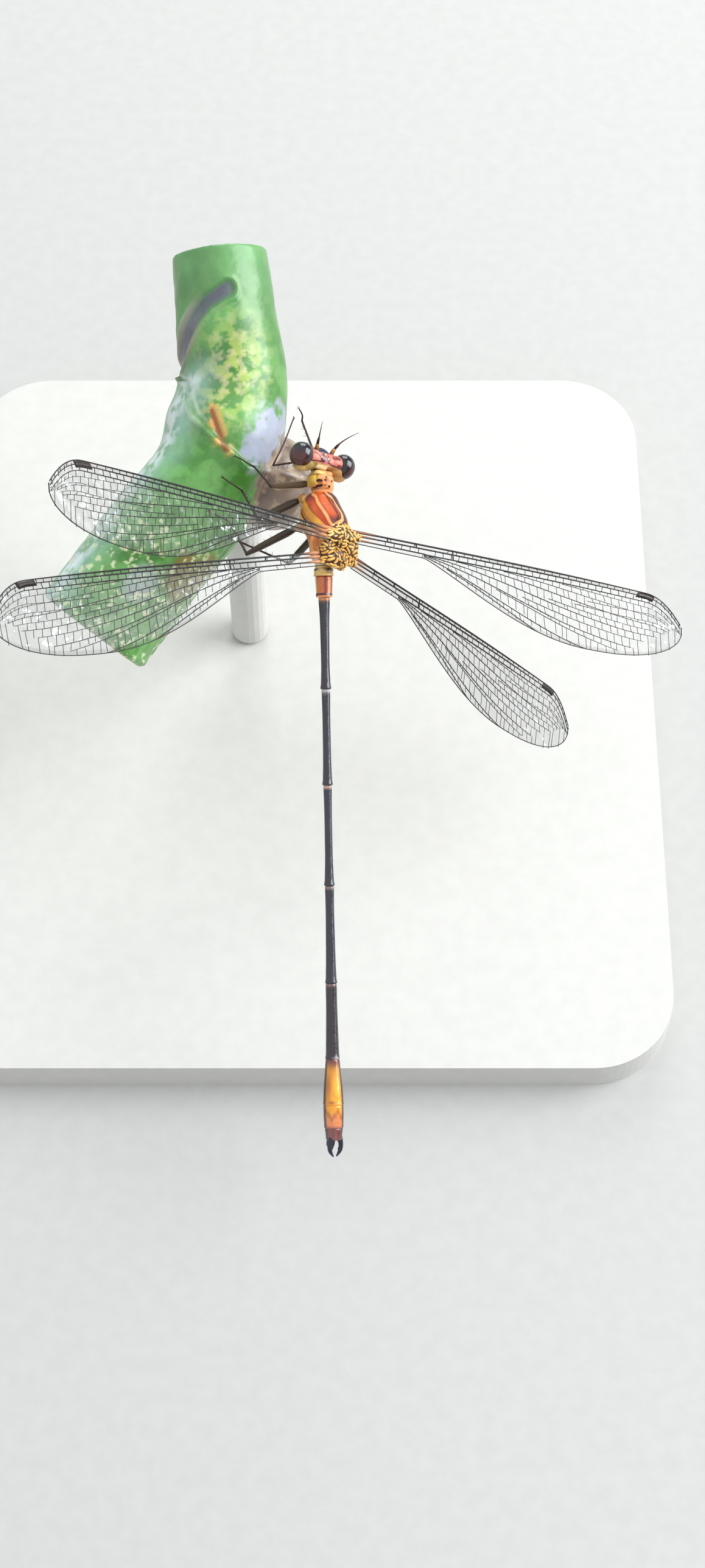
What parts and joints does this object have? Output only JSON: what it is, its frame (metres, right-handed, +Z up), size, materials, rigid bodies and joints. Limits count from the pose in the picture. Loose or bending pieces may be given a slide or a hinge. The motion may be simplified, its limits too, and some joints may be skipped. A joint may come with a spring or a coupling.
{
  "type": "damselfly model",
  "caption": "Still, life-size orange and black damselfly with open clear wings, gripping a short cut length of green stem on a plain display stand.",
  "frame": {"origin": "middle of the underside of the display stand's base", "axes": "+Z up; the insect's head points along +Y and its right side is +X"},
  "size_m": [0.0541, 0.071, 0.0482],
  "materials": {
    "thorax": "satin orange cuticle with cream and dark maroon bands",
    "face": "pinkish satin cuticle with dark marks and a cream rear band",
    "eye": "glossy near-black faceted eye",
    "wing": "clear membrane with dark brown veins",
    "abdomen": "blue-black satin cuticle with pale rings",
    "tail": "amber orange satin cuticle with dark sides",
    "cercus": "dark blue-black horn",
    "leg": "dark brown cuticle with pale edges",
    "stem": "smooth green living stem with scars",
    "stand": "plain pale matt display stand"
  },
  "bodies": {
    "root": {"head": "face", "eye_left": "eye", "eye_right": "eye", "antenna_left": "leg", "antenna_right": "leg", "prothorax": "thorax", "synthorax": "thorax", "wing_fore_left": "wing", "wing_fore_right": "wing", "wing_hind_left": "wing", "wing_hind_right": "wing", "abdomen_1": "thorax", "abdomen_2": "thorax", "abdomen_3": "abdomen", "abdomen_4": "abdomen", "abdomen_5": "abdomen", "abdomen_6": "abdomen", "abdomen_7": "abdomen", "abdomen_8": "tail", "abdomen_9": "tail", "abdomen_10": "tail", "cercus_left": "cercus", "cercus_right": "cercus", "paraprocts": "cercus", "leg_fore_left_femur": "leg", "leg_fore_left_tibia": "leg", "leg_fore_left_tarsus": "leg", "leg_fore_right_femur": "leg", "leg_fore_right_tibia": "leg", "leg_fore_right_tarsus": "leg", "leg_mid_left_femur": "leg", "leg_mid_left_tibia": "leg", "leg_mid_left_tarsus": "leg", "leg_mid_right_femur": "leg", "leg_mid_right_tibia": "leg", "leg_mid_right_tarsus": "leg", "leg_hind_left_femur": "leg", "leg_hind_left_tibia": "leg", "leg_hind_left_tarsus": "leg", "leg_hind_right_femur": "leg", "leg_hind_right_tibia": "leg", "leg_hind_right_tarsus": "leg", "perch_stem": "stem", "stand_base": "stand", "stand_rod": "stand"}
  },
  "joints": []
}
